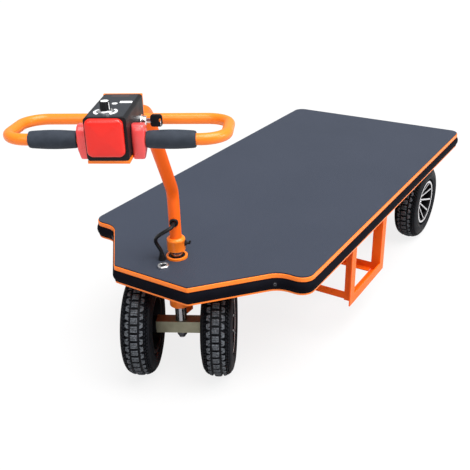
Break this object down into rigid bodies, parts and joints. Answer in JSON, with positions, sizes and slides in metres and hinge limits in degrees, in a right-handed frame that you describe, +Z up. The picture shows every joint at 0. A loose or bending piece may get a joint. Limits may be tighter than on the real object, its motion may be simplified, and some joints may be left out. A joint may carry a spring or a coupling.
{
  "type": "electric platform trolley",
  "caption": "Electric platform trolley: flat matted load deck with a tapered nose, steered front axle with a swan-neck tiller and control head, driven rear axle and open battery tray.",
  "frame": {"origin": "centre of the main load deck, on the mat's top face", "axes": "+X forward to the tiller, +Y to the vehicle's left, +Z up"},
  "size_m": [2.2034, 0.8714, 1.042],
  "materials": {
    "orange_paint": "glossy orange powder coat",
    "mat_rubber": "finely pimpled anti-slip mat",
    "bumper_rubber": "smooth extruded strip",
    "black_rubber": "matt",
    "grip_rubber": "soft foam grip",
    "tyre_rubber": "matt, block tread",
    "wheel_alloy": "polished spoke faces, black pockets",
    "bright_steel": "turned",
    "olive_steel": "passivated bar",
    "black_paint": "satin black",
    "black_plastic": "fine moulded grain",
    "red_plastic": "glossy moulding",
    "white_print": "printed ring",
    "chrome_cap": "bright plated"
  },
  "bodies": {
    "chassis": {"deck_mat": "mat_rubber", "deck_plate": "orange_paint", "side_skirts": "orange_paint", "rear_skirt": "orange_paint", "front_skirt": "orange_paint", "nose_skirts": "orange_paint", "edge_bumper": "bumper_rubber", "long_rails": "orange_paint", "cross_members": "orange_paint", "head_tube": "orange_paint", "head_gusset": "orange_paint", "bearing_seal": "black_rubber", "cable_gland": "black_plastic", "deck_button": "chrome_cap", "tray_posts": "orange_paint", "tray_rails": "orange_paint", "rear_axle": "black_paint", "axle_brackets": "orange_paint", "drive_unit": "black_paint"},
    "steering": {"kingpin": "bright_steel", "kingpin_nut": "bright_steel", "front_beam": "olive_steel", "clamp_collar": "orange_paint", "clamp_screw": "black_plastic", "column": "orange_paint", "column_grommet": "black_rubber", "control_cable": "black_rubber", "head_bracket": "orange_paint", "handle_loop": "orange_paint", "grips": "grip_rubber", "head_housing": "black_plastic", "stop_pad": "red_plastic", "throttle_paddles": "red_plastic", "panel_marks": "white_print", "dial_knob": "black_plastic", "key_switch": "chrome_cap"},
    "front_left_wheel": {"tyre_front_left": "tyre_rubber", "rim_front_left": "wheel_alloy"},
    "front_right_wheel": {"tyre_front_right": "tyre_rubber", "rim_front_right": "wheel_alloy"},
    "rear_left_wheel": {"tyre_rear_left": "tyre_rubber", "rim_rear_left": "wheel_alloy"},
    "rear_right_wheel": {"tyre_rear_right": "tyre_rubber", "rim_rear_right": "wheel_alloy"}
  },
  "joints": [
    {"name": "steer", "type": "hinge", "parent": "chassis", "child": "steering", "pos_m": [0.82, 0, 0], "axis": [0, 0, 1], "range_deg": [-88.5, 31.5], "deforming": ["control_cable"]},
    {"name": "front_left_spin", "type": "hinge", "parent": "steering", "child": "front_left_wheel", "pos_m": [0.76274, 0.10546, -0.24], "axis": [-0.4772, 0.8788, 0], "continuous": true},
    {"name": "front_right_spin", "type": "hinge", "parent": "steering", "child": "front_right_wheel", "pos_m": [0.87726, -0.10546, -0.24], "axis": [-0.4772, 0.8788, 0], "continuous": true},
    {"name": "rear_left_spin", "type": "hinge", "parent": "chassis", "child": "rear_left_wheel", "pos_m": [-0.464, 0.32, -0.24], "axis": [0, 1, 0], "continuous": true},
    {"name": "rear_right_spin", "type": "hinge", "parent": "chassis", "child": "rear_right_wheel", "pos_m": [-0.464, -0.32, -0.24], "axis": [0, 1, 0], "continuous": true}
  ]
}
